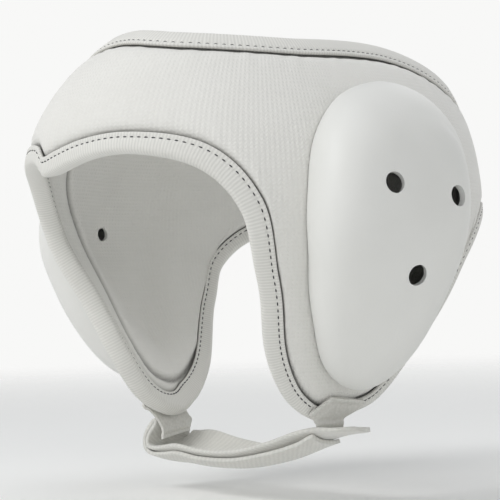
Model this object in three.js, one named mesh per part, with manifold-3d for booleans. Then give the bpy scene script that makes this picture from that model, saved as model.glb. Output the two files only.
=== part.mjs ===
// Ear guard: a padded band with an open crown, two ear cups on its flaps and a chin strap.
// Millimetres. Z is up, the wearer faces -Y and their left ear is at +X.
// The origin is the middle of the head at the level where the head is measured.
import * as THREE from 'three';
import Module from 'manifold-3d';

const wasm = await Module();
wasm.setup();

// Driving sizes
const bandWall = 7; // padded band, face to face
const air = 0.3; // gap between neighbouring pieces
const tapeAir = 0.5; // gap between the tape and the padding it covers
const tapeWall = 1.3; // binding tape lying on the band
const tapeFold = 1.2; // binding tape where it folds round the edge
const tapeRound = 1.8; // how far the fold's corners are rounded
const bandStep = 1.2; // width of the step in the padding beside the tape
const bandSteps = 8; // rows of facets between the two steps
const columns = 74; // facets round the band
const squareness = 2.2; // 2 would make each level of the band an ellipse
const cupWall = 2.2;
const cupAir = 0.5; // gap between the ear cup and the band
const cupRise = 16; // ear cup above the band
const cupRim = 2.2; // height of the ear cup's edge
const cupFacets = 38;
const cupLip = 8; // how sharply the cup's inside turns flat towards its edge
const recessInset = 6; // from the cup's outline in to the ear recess behind it
const recessSkin = 2.5; // what the recess leaves of the band's wall
const recessRings = [1, 0.75, 0.5, 0.25];
const holeDiameter = 8.4;
const ventDiameter = 5.8; // hole from the ear recess into the cup
const holeFacets = 16;
const tabWall = 1.2;
const tabSteps = 4; // facets across a tab
const tabFold = -89; // below this height a tab leaves the flap and turns inwards
const strapWall = 2;
const strapAir = 0.4; // between the two layers of the strap
const strapStep = 6.5; // length of a strap facet
const strapLanes = [0, 0.25, 0.5, 0.75, 1]; // places across the strap
const strapFold = [45, 90, 135]; // degrees round the fold between its two layers
const strapEnd = 2.2; // place in the strap table where the outer layer is cut off square

// Levels of the band's outer face: half width, and reach forwards and backwards.
const levelStep = 30;
const levels = [
  { height: -105, side: 46.5, front: 60.5, back: 59 },
  { height: -75, side: 61.5, front: 61, back: 69.5 },
  { height: -45, side: 79, front: 70.5, back: 77 },
  { height: -15, side: 88.5, front: 89.5, back: 82.5 },
  { height: 15, side: 80.5, front: 99, back: 88.5 },
  { height: 45, side: 58.5, front: 85, back: 87.5 },
  { height: 75, side: 27, front: 46.5, back: 80 },
];

// Lower edge of one half: degrees from straight ahead, height, and width of the tape.
const lowerEdge = [
  { turn: 0, height: 9, lap: 9 },
  { turn: 21, height: 10, lap: 9 },
  { turn: 39, height: 4.5, lap: 9 },
  { turn: 46, height: -12.5, lap: 8.5 },
  { turn: 45.5, height: -37, lap: 8.5 },
  { turn: 46.5, height: -61, lap: 8.5 },
  { turn: 56, height: -79, lap: 9 },
  { turn: 70.5, height: -89, lap: 9 },
  { turn: 85, height: -91, lap: 8 },
  { turn: 100, height: -76, lap: 5 },
  { turn: 111.5, height: -43, lap: 5 },
  { turn: 127.5, height: -15, lap: 6 },
  { turn: 154, height: -14, lap: 8 },
  { turn: 180, height: -16, lap: 8 },
];

// Upper edge of one half, round the open crown.
const crownEdge = [
  { turn: 0, height: 62.5, lap: 9.5 },
  { turn: 35, height: 59, lap: 9.5 },
  { turn: 70, height: 57, lap: 9.5 },
  { turn: 105, height: 57, lap: 9.5 },
  { turn: 140, height: 43, lap: 9.5 },
  { turn: 180, height: 21, lap: 9.5 },
];

// Outline of an ear cup seen from the side, and how full its dome is towards that point.
const cupMiddle = { along: -4, height: -13 };
const cupOutline = [
  { along: -46.5, height: -12, fullness: 6 },
  { along: -42.5, height: -32, fullness: 8 },
  { along: -35, height: -52, fullness: 8 },
  { along: -24, height: -71, fullness: 6 },
  { along: -9, height: -78, fullness: 3.2 },
  { along: 4, height: -71, fullness: 1.9 },
  { along: 11.5, height: -48, fullness: 1.7 },
  { along: 20.5, height: -16, fullness: 1.6 },
  { along: 25.5, height: 8, fullness: 1.6 },
  { along: 24, height: 24, fullness: 1.8 },
  { along: 12.5, height: 34, fullness: 2 },
  { along: -6, height: 35.5, fullness: 2.4 },
  { along: -27, height: 27.5, fullness: 3.2 },
  { along: -41.5, height: 11, fullness: 4.5 },
];
const cupRings = [1, 0.97, 0.9, 0.77, 0.57, 0.3];

// Hearing holes in each ear cup, and the vent through the band behind it.
const holes = [
  { along: -19.5, height: -5 },
  { along: 8, height: -9 },
  { along: -8.5, height: -32 },
];
const vent = { along: -24, height: -13 };

// Rows down a strap tab: height, turn inwards below the flap, front and rear edge.
const tabRows = [
  { height: -82, inward: 0, front: -13, rear: -0.5 },
  { height: -85, inward: 0, front: -18, rear: -1.5 },
  { height: -88, inward: 0, front: -23, rear: -3 },
  { height: -90.2, inward: 0.4, front: -22.5, rear: -4.5 },
  { height: -91.8, inward: 2.2, front: -22, rear: -6 },
  { height: -93.1, inward: 5, front: -21.5, rear: -7 },
  { height: -94.8, inward: 9, front: -21, rear: -7.5 },
  { height: -96.6, inward: 13, front: -20, rear: -8 },
];

// Rows along the chin strap, between its two layers, from the free tip to the far fold.
// A rise lifts the front or rear edge above the middle.
const strapRows = [
  { across: 67, height: -94, front: -18, rear: -5, frontRise: 0, rearRise: 0 },
  { across: 60, height: -94.8, front: -21, rear: -3, frontRise: 0, rearRise: 0 },
  { across: 52, height: -96.6, front: -22.5, rear: -2, frontRise: 0, rearRise: 0 },
  { across: 42, height: -100.2, front: -23, rear: -2, frontRise: 0, rearRise: 0 },
  { across: 26, height: -105.8, front: -24, rear: -2, frontRise: 2.5, rearRise: 3 },
  { across: 4, height: -110.2, front: -24, rear: -2, frontRise: 3.5, rearRise: 5 },
  { across: -18, height: -109.5, front: -23.5, rear: -1.5, frontRise: 2.5, rearRise: 6.5 },
  { across: -36, height: -108, front: -22, rear: -0.5, frontRise: 1.5, rearRise: 7 },
  { across: -47, height: -108, front: -20, rear: 0, frontRise: 0.5, rearRise: 4 },
  { across: -54, height: -105, front: -19, rear: 0, frontRise: 0, rearRise: 0.5 },
  { across: -58, height: -99, front: -19, rear: 0, frontRise: 0, rearRise: 0 },
  { across: -59, height: -92, front: -18.5, rear: -0.5, frontRise: 0, rearRise: 0 },
];

// Smooth reading of a table at a place between its rows, every column at once.
function between(rows, place) {
  const last = rows.length - 1;
  const index = Math.min(Math.max(Math.floor(place), 0), last - 1);
  const t = place - index;
  const start = rows[index];
  const end = rows[index + 1];
  const before = rows[index - 1] ?? start;
  const after = rows[index + 2] ?? end;
  const row = {};
  for (const column of Object.keys(start)) {
    const slopeIn = (end[column] - before[column]) / (before === start ? 1 : 2);
    const slopeOut = (after[column] - start[column]) / (after === end ? 1 : 2);
    row[column] = (2 * t ** 3 - 3 * t ** 2 + 1) * start[column]
      + (t ** 3 - 2 * t ** 2 + t) * slopeIn
      + (3 * t ** 2 - 2 * t ** 3) * end[column]
      + (t ** 3 - t ** 2) * slopeOut;
  }
  return row;
}

// Places from first to last that cut the curve pointAt(place) into equal lengths.
function evenPlaces(pointAt, first, last, count) {
  const samples = 600;
  const places = [first];
  const lengths = [0];
  let previous = pointAt(first);
  for (let i = 1; i <= samples; i += 1) {
    const place = THREE.MathUtils.lerp(first, last, i / samples);
    const point = pointAt(place);
    places.push(place);
    lengths.push(lengths[i - 1] + point.distanceTo(previous));
    previous = point;
  }
  const even = [];
  for (let k = 0, i = 0; k <= count; k += 1) {
    const wanted = (lengths[samples] * k) / count;
    while (i < samples - 1 && lengths[i + 1] < wanted) i += 1;
    const part = (wanted - lengths[i]) / (lengths[i + 1] - lengths[i]);
    even.push(THREE.MathUtils.lerp(places[i], places[i + 1], part));
  }
  return even;
}

const signedPower = (value, power) => Math.sign(value) * Math.abs(value) ** power;
const levelAt = (height) => between(levels, (height - levels[0].height) / levelStep);

// A point of the band's outer face.
function facePoint({ turn, height }) {
  const level = levelAt(height);
  const sine = signedPower(Math.sin(turn), 2 / squareness);
  const cosine = signedPower(Math.cos(turn), 2 / squareness);
  const reach = cosine > 0 ? level.front : level.back;
  return new THREE.Vector3(level.side * sine, -reach * cosine, height);
}

// The spot of the outer face that lies beside a point near it.
function spotOf(point) {
  const level = levelAt(point.z);
  const reach = point.y < 0 ? level.front : level.back;
  const sine = signedPower(point.x / level.side, squareness / 2);
  const cosine = signedPower(-point.y / reach, squareness / 2);
  return { turn: Math.atan2(sine, cosine), height: point.z };
}

// The spot of the +X outer face at a distance along Y and a height.
function sideSpot(along, height) {
  const level = levelAt(height);
  const cosine = signedPower(-along / (along < 0 ? level.front : level.back), squareness / 2);
  return { turn: Math.acos(cosine), height };
}

function faceNormal({ turn, height }) {
  const small = 0.01;
  const round = facePoint({ turn: turn + small, height }).sub(facePoint({ turn: turn - small, height }));
  const upward = facePoint({ turn, height: height + 1 }).sub(facePoint({ turn, height: height - 1 }));
  return round.cross(upward).normalize();
}

// A point below the outer face; a negative depth stands off it.
function layerPoint(spot, depth) {
  return facePoint(spot).addScaledVector(faceNormal(spot), -depth);
}

// Evenly spaced columns of an edge, with the way across the band from each of them.
function edgeColumns(rows, inwardSign) {
  const radians = rows.map((row) => ({ ...row, turn: THREE.MathUtils.degToRad(row.turn) }));
  const first = { ...radians[1], turn: -radians[1].turn };
  const last = radians[radians.length - 2];
  const table = [first, ...radians, { ...last, turn: 2 * Math.PI - last.turn }];
  const places = evenPlaces((place) => facePoint(between(table, place)), 1, rows.length, columns / 2);
  const half = places.map((place) => between(table, place));
  const other = half.slice(1, -1).reverse().map((spot) => ({ ...spot, turn: -spot.turn }));
  const loop = [...half, ...other];
  const points = loop.map(facePoint);
  return loop.map((spot, i) => {
    const next = points[(i + 1) % columns];
    const previous = points[(i + columns - 1) % columns];
    const along = next.clone().sub(previous).normalize();
    const across = faceNormal(spot).cross(along).multiplyScalar(inwardSign);
    return { point: points[i], across, lap: spot.lap };
  });
}

// The spot a distance in from an edge.
const inFrom = (column, distance) => spotOf(column.point.clone().addScaledVector(column.across, distance));

// Solids are lists of points and of triangles that name them.
function loopSolid(sections) {
  const size = sections[0].length;
  const points = sections.flat();
  const faces = [];
  sections.forEach((section, i) => {
    const next = (i + 1) % sections.length;
    for (let k = 0; k < size; k += 1) {
      const turned = (k + 1) % size;
      const [a, b, c, d] = [i * size + k, next * size + k, next * size + turned, i * size + turned];
      if (points[a].distanceTo(points[c]) < points[b].distanceTo(points[d])) {
        faces.push([a, b, c], [a, c, d]);
      } else {
        faces.push([a, b, d], [b, c, d]);
      }
    }
  });
  return { points, faces };
}

// A body between two outlines, closed by a fan at each end.
function loftSolid(start, end) {
  const size = start.length;
  const middle = (ring) => ring.reduce((sum, p) => sum.add(p), new THREE.Vector3()).divideScalar(size);
  const points = [...start, ...end, middle(start), middle(end)];
  const faces = [];
  for (let k = 0; k < size; k += 1) {
    const next = (k + 1) % size;
    faces.push([k, next, size + next], [k, size + next, size + k]);
    faces.push([2 * size, next, k], [2 * size + 1, size + k, size + next]);
  }
  return { points, faces };
}

// A sheet of even thickness about a grid of points.
function sheetSolid(grid, thickness) {
  const rows = grid.length;
  const size = grid[0].length;
  const normalAt = (i, k) => {
    const down = grid[Math.min(i + 1, rows - 1)][k].clone().sub(grid[Math.max(i - 1, 0)][k]);
    const sideways = grid[i][Math.min(k + 1, size - 1)].clone().sub(grid[i][Math.max(k - 1, 0)]);
    return down.cross(sideways).normalize();
  };
  const sections = grid.map((row, i) => {
    const shifted = (offset) => row.map((p, k) => p.clone().addScaledVector(normalAt(i, k), offset));
    return [...shifted(thickness / 2), ...shifted(-thickness / 2).reverse()];
  });
  const { points, faces } = loopSolid(sections);
  const ring = 2 * size;
  const open = faces.slice(0, -2 * ring);
  const base = (rows - 1) * ring;
  for (let k = 0; k < size - 1; k += 1) {
    const [a, b, c, d] = [k, k + 1, ring - 2 - k, ring - 1 - k];
    open.push([a, b, c], [a, c, d], [base + a, base + c, base + b], [base + a, base + d, base + c]);
  }
  return { points, faces: open };
}

// A dome with a wall: rings run from the edge inwards and meet in a top point.
function domeSolid(outerRings, outerTop, innerRings, innerTop) {
  const size = outerRings[0].length;
  const rings = [...outerRings.slice().reverse(), ...innerRings];
  const { points, faces } = loopSolid(rings);
  const open = faces.slice(0, -2 * size);
  const base = (rings.length - 1) * size;
  const top = points.length;
  for (let k = 0; k < size; k += 1) {
    const next = (k + 1) % size;
    open.push([top, k, next], [top + 1, base + next, base + k]);
  }
  return { points: [...points, outerTop, innerTop], faces: open };
}

function mirrored({ points, faces }) {
  return {
    points: points.map((p) => new THREE.Vector3(-p.x, p.y, p.z)),
    faces: faces.map(([a, b, c]) => [a, c, b]),
  };
}

function toManifold({ points, faces }) {
  return new wasm.Manifold(new wasm.Mesh({
    numProp: 3,
    vertProperties: new Float32Array(points.flatMap((p) => p.toArray())),
    triVerts: new Uint32Array(faces.flat()),
  }));
}

function fromManifold(body) {
  const { numProp, vertProperties, triVerts } = body.getMesh();
  const points = [];
  for (let i = 0; i < vertProperties.length; i += numProp) {
    points.push(new THREE.Vector3(vertProperties[i], vertProperties[i + 1], vertProperties[i + 2]));
  }
  const faces = [];
  for (let i = 0; i < triVerts.length; i += 3) faces.push([...triVerts.slice(i, i + 3)]);
  return { points, faces };
}

// Padded band
const lower = edgeColumns(lowerEdge, 1);
const crown = edgeColumns(crownEdge, -1);
const tapeSink = tapeWall + tapeAir;
const edgeInset = tapeFold + air;

function bandSection(i) {
  const lapped = (column) => {
    const tapeEdge = column.lap + air;
    return [edgeInset, tapeEdge, tapeEdge + bandStep].map((distance, k) => (
      { spot: inFrom(column, distance), sink: k < 2 ? tapeSink : 0 }
    ));
  };
  const bottom = lapped(lower[i]);
  const top = lapped(crown[i]).reverse();
  const low = facePoint(bottom[2].spot);
  const high = facePoint(top[0].spot);
  const middle = [];
  for (let k = 1; k < bandSteps; k += 1) {
    middle.push({ spot: spotOf(low.clone().lerp(high, k / bandSteps)), sink: 0 });
  }
  const rows = [...bottom, ...middle, ...top];
  const outer = rows.map(({ spot, sink }) => layerPoint(spot, sink));
  const inner = rows.map(({ spot, sink }) => layerPoint(spot, bandWall - sink));
  return [...outer, ...inner.reverse()];
}

// Ear cup on the +X side
const cupTable = [cupOutline.at(-1), ...cupOutline, ...cupOutline.slice(0, 2)];
const sidePoint = (along, height, rise) => layerPoint(sideSpot(along, height), -rise);

function cupEdge() {
  const pointAt = (place) => {
    const { along, height } = between(cupTable, place);
    return sidePoint(along, height, 0);
  };
  const places = evenPlaces(pointAt, 1, cupOutline.length + 1, cupFacets).slice(0, -1);
  return places.map((place) => between(cupTable, place));
}

// A point of the cup: ring 1 is its edge moved in by an inset, ring 0 is its middle.
function cupPoint(edge, ring, inset, rise) {
  const along = edge.along - cupMiddle.along;
  const height = edge.height - cupMiddle.height;
  const scale = ring * (1 - inset / Math.hypot(along, height));
  return sidePoint(cupMiddle.along + along * scale, cupMiddle.height + height * scale, rise);
}

const domeRise = (ring, fullness) => (cupRise - cupRim) * Math.sqrt(1 - ring ** fullness);

function cupSolid(edges) {
  const outer = cupRings.map((ring) => edges.map((edge) => (
    cupPoint(edge, ring, 0, cupAir + cupRim + domeRise(ring, edge.fullness))
  )));
  const inner = cupRings.map((ring) => edges.map((edge) => (
    cupPoint(edge, ring, cupWall, cupAir + domeRise(ring, edge.fullness) * (1 - ring ** cupLip))
  )));
  const top = (rise) => sidePoint(cupMiddle.along, cupMiddle.height, rise);
  return domeSolid(outer, top(cupAir + cupRise), inner, top(cupAir + cupRise - cupWall));
}

// A round cutter square to the face, between two distances off it.
function rod({ along, height }, diameter, from, to) {
  const spot = sideSpot(along, height);
  const axis = faceNormal(spot);
  const sideways = new THREE.Vector3(0, 1, 0).cross(axis).normalize();
  const upward = axis.clone().cross(sideways);
  const ring = (stand) => Array.from({ length: holeFacets }, (_, k) => {
    const angle = (2 * Math.PI * k) / holeFacets;
    return layerPoint(spot, -stand)
      .addScaledVector(sideways, (diameter / 2) * Math.cos(angle))
      .addScaledVector(upward, (diameter / 2) * Math.sin(angle));
  });
  return loftSolid(ring(from), ring(to));
}

// What is taken out of the band's inner face for the ear.
function recessCutter(edges) {
  const rings = (depth) => recessRings.map((ring) => (
    edges.map((edge) => cupPoint(edge, ring, recessInset, -depth))
  ));
  const middle = (depth) => sidePoint(cupMiddle.along, cupMiddle.height, -depth);
  const beyond = 2 * bandWall;
  return domeSolid(rings(recessSkin), middle(recessSkin), rings(beyond), middle(beyond));
}

// Strap tab on the +X flap
function tabGrid() {
  return tabRows.map(({ height, inward, front, rear }) => (
    Array.from({ length: tabSteps + 1 }, (_, k) => {
      const along = THREE.MathUtils.lerp(front, rear, k / tabSteps);
      const point = sidePoint(along, Math.max(height, tabFold), air + tabWall / 2);
      const drop = height - Math.max(height, tabFold);
      return point.add(new THREE.Vector3(-inward, 0, drop));
    })
  ));
}

// Chin strap: the inner layer out, a fold, and the outer layer back.
function strapGrid() {
  const last = strapRows.length - 1;
  const half = (strapWall + strapAir) / 2;
  const nearby = 0.05; // in rows of the table
  const laneAt = (place) => {
    const { across, height } = between(strapRows, place);
    return new THREE.Vector3(across, 0, height);
  };
  const length = (from) => {
    const places = evenPlaces(laneAt, from, last, 100);
    return places.reduce((sum, place, i) => (
      i ? sum + laneAt(place).distanceTo(laneAt(places[i - 1])) : 0
    ), 0);
  };
  const station = (place, offset, beyond) => {
    const row = between(strapRows, place);
    const ahead = laneAt(Math.min(place + nearby, last));
    const along = ahead.sub(laneAt(Math.max(place - nearby, 0))).normalize();
    const inside = new THREE.Vector3(along.z, 0, -along.x);
    return strapLanes.map((part) => {
      const rise = part < 0.5 ? row.frontRise : row.rearRise;
      const lift = rise * (2 * part - 1) ** 2;
      return new THREE.Vector3(row.across, THREE.MathUtils.lerp(row.front, row.rear, part), row.height)
        .addScaledVector(inside, offset + lift)
        .addScaledVector(along, beyond);
    });
  };
  const layer = (from, offset) => (
    evenPlaces(laneAt, from, last, Math.round(length(from) / strapStep))
      .map((place) => station(place, offset, 0))
  );
  const fold = strapFold.map(THREE.MathUtils.degToRad).map((angle) => (
    station(last, half * Math.cos(angle), half * Math.sin(angle))
  ));
  return [...layer(0, half), ...fold, ...layer(strapEnd, -half).reverse()];
}

// Binding tape: a channel that holds an edge, drawn in (distance in, depth) pairs.
function bindingSection(column) {
  const half = bandWall / 2;
  const profile = [
    [column.lap, 0],
    [tapeRound, 0],
    [0, half],
    [tapeRound, bandWall],
    [column.lap, bandWall],
    [column.lap, bandWall - tapeWall],
    [tapeFold, bandWall - tapeWall],
    [tapeFold, tapeWall],
    [column.lap, tapeWall],
  ];
  return profile.map(([distance, depth]) => layerPoint(inFrom(column, distance), depth));
}

function addPiece(group, name, { points, faces }, color) {
  const geometry = new THREE.BufferGeometry();
  const places = points.flatMap((p) => p.toArray());
  geometry.setAttribute('position', new THREE.Float32BufferAttribute(places, 3));
  geometry.setIndex(faces.flat());
  geometry.computeVertexNormals();
  const mesh = new THREE.Mesh(geometry, new THREE.MeshStandardMaterial({ color, roughness: 0.9 }));
  mesh.name = name;
  group.add(mesh);
}

const cupEdges = cupEdge();
const recess = recessCutter(cupEdges);
const ventRod = rod(vent, ventDiameter, -2 * bandWall, bandWall);
const bandBody = [recess, mirrored(recess), ventRod, mirrored(ventRod)].reduce(
  (body, cutter) => body.subtract(toManifold(cutter)),
  toManifold(loopSolid(lower.map((_, i) => bandSection(i)))),
);
const cupBody = holes.reduce(
  (body, hole) => body.subtract(toManifold(rod(hole, holeDiameter, 1, 2 * cupRise))),
  toManifold(cupSolid(cupEdges)),
);
const leftCup = fromManifold(cupBody);
const leftTab = sheetSolid(tabGrid(), tabWall);

const group = new THREE.Group();
group.name = 'ear_guard';
addPiece(group, 'padded_band', fromManifold(bandBody), 0xf2f2ee);
const edgeSections = lower.map((column) => bindingSection(column).reverse());
addPiece(group, 'edge_binding', loopSolid(edgeSections), 0xe9e9e4);
addPiece(group, 'crown_binding', loopSolid(crown.map(bindingSection)), 0xe9e9e4);
addPiece(group, 'ear_cup_left', leftCup, 0xf2f2ee);
addPiece(group, 'ear_cup_right', mirrored(leftCup), 0xf2f2ee);
addPiece(group, 'strap_tab_left', leftTab, 0xdededa);
addPiece(group, 'strap_tab_right', mirrored(leftTab), 0xdededa);
addPiece(group, 'chin_strap', sheetSolid(strapGrid(), strapWall), 0xe4e4df);

export default group;
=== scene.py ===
# Soft sports ear guard: padding, bindings, ear cups and chin strap made over the frame's solids.
# Sizes are in millimetres, and become metres where a mesh is placed.
import math

import bpy
import numpy as np
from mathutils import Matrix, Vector


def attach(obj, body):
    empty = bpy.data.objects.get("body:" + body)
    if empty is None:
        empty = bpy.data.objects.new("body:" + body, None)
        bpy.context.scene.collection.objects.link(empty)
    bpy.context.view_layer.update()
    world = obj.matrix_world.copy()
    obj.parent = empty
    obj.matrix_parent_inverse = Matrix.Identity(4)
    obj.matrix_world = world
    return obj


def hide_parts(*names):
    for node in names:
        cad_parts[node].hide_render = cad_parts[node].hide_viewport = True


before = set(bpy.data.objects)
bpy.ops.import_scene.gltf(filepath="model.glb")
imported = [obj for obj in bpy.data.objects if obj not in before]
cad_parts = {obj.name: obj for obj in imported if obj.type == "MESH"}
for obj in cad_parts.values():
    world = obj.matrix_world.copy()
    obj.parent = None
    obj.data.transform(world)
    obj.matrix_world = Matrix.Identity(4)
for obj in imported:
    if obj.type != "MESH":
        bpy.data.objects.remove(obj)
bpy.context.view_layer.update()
MM = 0.001

# Driving sizes of the tapes
TAPE_WALL = 1.3
TAPE_FOLD = 1.2
TAPE_ROUND = 2.4
TAPE_SINK = 1.8  # how far the padding is pressed down under the tape
TAPE_GAP = 0.25  # between the tape's edge and the padding beside it
TAPE_PROUD = 0.5  # how far the tape stands out from the band's face
TAPE_CROWN = 0.14  # how far the tape swells between its stitches and its fold
TAPE_SWELL = 0.1  # how far the fold bulges past the tape's two faces
TAPE_FULLNESS = 0.9  # roundness of the fold; 1 would make it half an ellipse
TAPE_GATHER = 0.1  # height of the gathers that the stitches draw in the tape
TAPE_GATHER_REACH = 1.4
TAPE_COLUMNS = 888  # cells along a tape

# Driving sizes of the padded band
BAND_WALL = 7.0
BAND_COLUMNS = 500  # cells round the band
BAND_ROWS = 84  # cells from tape to tape
SQUARENESS = 2.2  # 2 would make each level of the band an ellipse
EDGE_EASE = 7.0  # length over which the way across the band is evened out
PUFF = 0.45  # how far the padding swells beside a stitched edge
PUFF_REACH = 6.0
PRESS_REACH = 1.7  # how far from the tape the padding is still pressed down
PUCKER = 0.2  # height of the small gathers along a stitched edge
PUCKER_START = 1.5
PUCKER_LENGTHS = (8.5, 5.7)  # a long and a short wave of gathers along the edge
UNEVENNESS = 0.3  # height of the slow waves that uneven filling leaves, 70 to 110 mm long
INNER_RELIEF = 0.8  # how much of the outer face's relief the inner face has
EDGE_SHADE = 0.9  # width of the strip of painted shade along a stitched edge
SEAM_DENT = 1.3  # depth of the lining's seam in the inner face
SEAM_WIDTH = 1.3
SEAM_SWELL = 0.5  # height of the swelling beside the lining's seam
SEAM_SWELL_PLACE = 5.0
SEAM_SWELL_WIDTH = 3.5

# Driving sizes of the ear cups, and of the recess and vent behind each
CUP_WALL = 2.2
CUP_AIR = 0.5
CUP_RISE = 19.0
CUP_RIM = 2.2
CUP_CELLS = 76  # cells across the square grid that is wrapped onto the dome
CUP_SKIRT = 3  # rows of cells in the upright edge of the cup
CUP_FOOT = 0.35  # how far the cup's edge is pressed into the padding
CUP_PINCH = 1.0  # dent in the padding along the cup's edge
CUP_PINCH_REACH = 4.0
CUP_SHADE = 1.6  # width of the strip of painted shade on the padding along the cup's edge
CUP_COVER = 2.0  # how far under the cup that strip of painted shade goes on
CUP_TOP = 0.6  # share of the way out where each direction has its own fullness
CUP_LINE_POINTS = 259  # points of the outline that distances are taken from
RECESS_SLOPE = 20.0  # width of the soft slope round the ear recess
RECESS_DEPTH = 4.5
HOLE_RADIUS = 3.9
HOLE_PUNCH = 16.0  # length of the punch that cuts a hole
VENT_RADIUS = 2.9

# Driving sizes of the strap tabs
TAB_WALL = 1.2
TAB_AIR = 0.75
TAB_FOLD = -89.0  # below this height a tab leaves the flap
TAB_CELLS = (64, 56)  # cells across and down a tab
TAB_BEVEL = 0.3
TAB_HEM = 1.5  # width of the turned edge along the top of a tab
TAB_HEM_RISE = 0.7
TAB_HEM_SLOPE = 0.12  # softness of the step down from a doubled part of a tab
TAB_SHOULDER = 2  # row of a tab's table where its slanted shoulder ends
TAB_FOOT = {"left": -90.2, "right": -99.4}  # below this height a tab is doubled, to be sewn to the strap

# Driving sizes of the chin strap
STRAP_WIDTH = 22.0
STRAP_WALL = 1.7
STRAP_AIR = 0.3
STRAP_CELL = 2.0  # length of a cell along the strap
STRAP_LANES = 18  # cells across the strap
STRAP_END = 2.0  # place in the strap table where the outer layer's front corner is cut off
STRAP_SLANT = 0.76  # how much further in its rear corner is cut off, in rows of the table
STRAP_SLANT_FADE = 6  # how soon the slant fades out along the layer
STRAP_TIP = 5.0  # length of the rounded free tip
STRAP_TIP_FULLNESS = 2.6
STRAP_TIP_END = 0.3  # share of the strap's width that is left at the very tip

# What makes the sides differ: the overlap of the lower tape's ends, and the left flap's twist
TONGUE_TURN = -8.0  # degrees from straight ahead to the tongue where the ends overlap
TONGUE_DROP = 4.6
TONGUE_RUN = 9.0  # degrees over which the edge comes down to the tongue
TONGUE_END = 3.2  # degrees over which it goes back up
TONGUE_LIFT = 0.7  # thickness of the overlapping end
TWIST_TURN = 92.0  # degrees round to the middle of the left flap's twist, behind its strap tab
TWIST_RISE = 2.1
TWIST_RUN = 9.0  # degrees over which the twist builds up and fades

# Driving sizes of the stitches
STITCH_PITCH = 2.7
STITCH_LENGTH = 1.75
STITCH_WIDTH = 0.62
STITCH_HEIGHT = 0.5
STITCH_DIVE = 0.3  # how far the ends of a stitch go down into the tape
STITCH_SINK = 0.2  # depth of a stitch's middle below the tape's face

# Section of a tape: the rounding of its edge, and the dent along its stitches.
TAPE_EDGE = [(0, 1.25), (0, 0.5), (0.15, 0.1), (0.5, 0)]  # distance in from the edge, depth
TAPE_DENT = [(-0.55, 0.04), (0, 0.34), (0.55, 0.02), (1.1, -0.12)]  # distance past the stitches, depth

# Levels of the band's outer face: height, half width, reach forwards, reach backwards.
LEVEL_STEP = 30
LEVELS = [
    (-105, 46.5, 60.5, 59),
    (-75, 61.5, 61, 69.5),
    (-45, 79, 70.5, 77),
    (-15, 88.5, 90.5, 82.5),
    (15, 80.5, 99, 88.5),
    (45, 58.5, 85, 87.5),
    (75, 27, 46.5, 80),
]

# Lower edge of one half: degrees from straight ahead, height, width of the tape outside and inside,
# distance of its stitches from its edge outside and inside.
LOWER_EDGE = [
    (0, 9, 8.2, 9, 2, 2),
    (21, 11, 7.9, 9, 2, 2),
    (39, 4.5, 9.2, 6.8, 2, 2.4),
    (46, -12.5, 9.4, 5.4, 1.8, 2.4),
    (44.8, -37, 8.7, 7, 1.8, 2.8),
    (46.2, -61.5, 8.4, 8.6, 1.8, 3.2),
    (56, -80, 7.2, 8, 1.7, 2.6),
    (70.5, -90.3, 6.2, 7.2, 1.4, 1.4),
    (85, -92.4, 6, 10.4, 1.4, 1.2),
    (99.2, -76, 6, 8.7, 1.4, 1.2),
    (110.5, -46, 6.2, 7.2, 1.4, 1.4),
    (117, -28, 6, 7, 1.4, 1.5),
    (131, -15, 7, 7.3, 1.6, 1.7),
    (154, -14, 8, 8, 1.8, 1.8),
    (180, -16, 8, 8, 1.8, 1.8),
]

# Upper edge of one half, round the open crown, in the same columns.
CROWN_EDGE = [
    (0, 62.5, 10.7, 10.7, 2, 2),
    (35, 59, 10.7, 10.7, 2, 2),
    (70, 57, 10.7, 10.7, 2, 2),
    (105, 57, 10.7, 10.7, 2, 2),
    (140, 43, 10.7, 10.7, 2, 2),
    (180, 21, 10.7, 10.7, 2, 2),
]

# Outline of an ear cup from the side: along, height, fullness of the dome towards that point.
CUP_MIDDLE = (-4, -13)
CUP_OUTLINE = [
    (-44.4, -12, 9),
    (-40.6, -31, 8),
    (-33.5, -50, 8),
    (-23, -68, 6),
    (-10, -74.4, 3),
    (1.6, -66.6, 1.7),
    (9.2, -46, 1.45),
    (17, -16, 1.35),
    (20.2, 6.5, 1.35),
    (18.8, 19.8, 1.5),
    (9.2, 29.6, 1.8),
    (-6.6, 32, 2.2),
    (-26, 25.2, 3.2),
    (-39.6, 9.8, 7),
]
CUP_TOP_FULLNESS = 2.6  # the fullness that all directions share at the top of the dome

# Hearing holes of a cup: along, height, degrees that the hole leans forwards and upwards.
HOLES = [(-24.4, -6.4, 15, 8), (-0.2, -9.9, -17, 4), (-14, -29.4, 18, -14)]
VENT = (-24, -13)

# Seam of the lining on a flap's inner face, from the crown down and round its bottom: along, height.
LINING_SEAM = [
    (-56, 47),
    (-58, 30),
    (-57, 17),
    (-55.5, 8),
    (-52, -2),
    (-45.3, -16),
    (-40.8, -29.5),
    (-37, -46),
    (-33, -62),
    (-25.5, -75),
    (-14, -80.5),
    (-3, -78),
    (9, -69),
]

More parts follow.
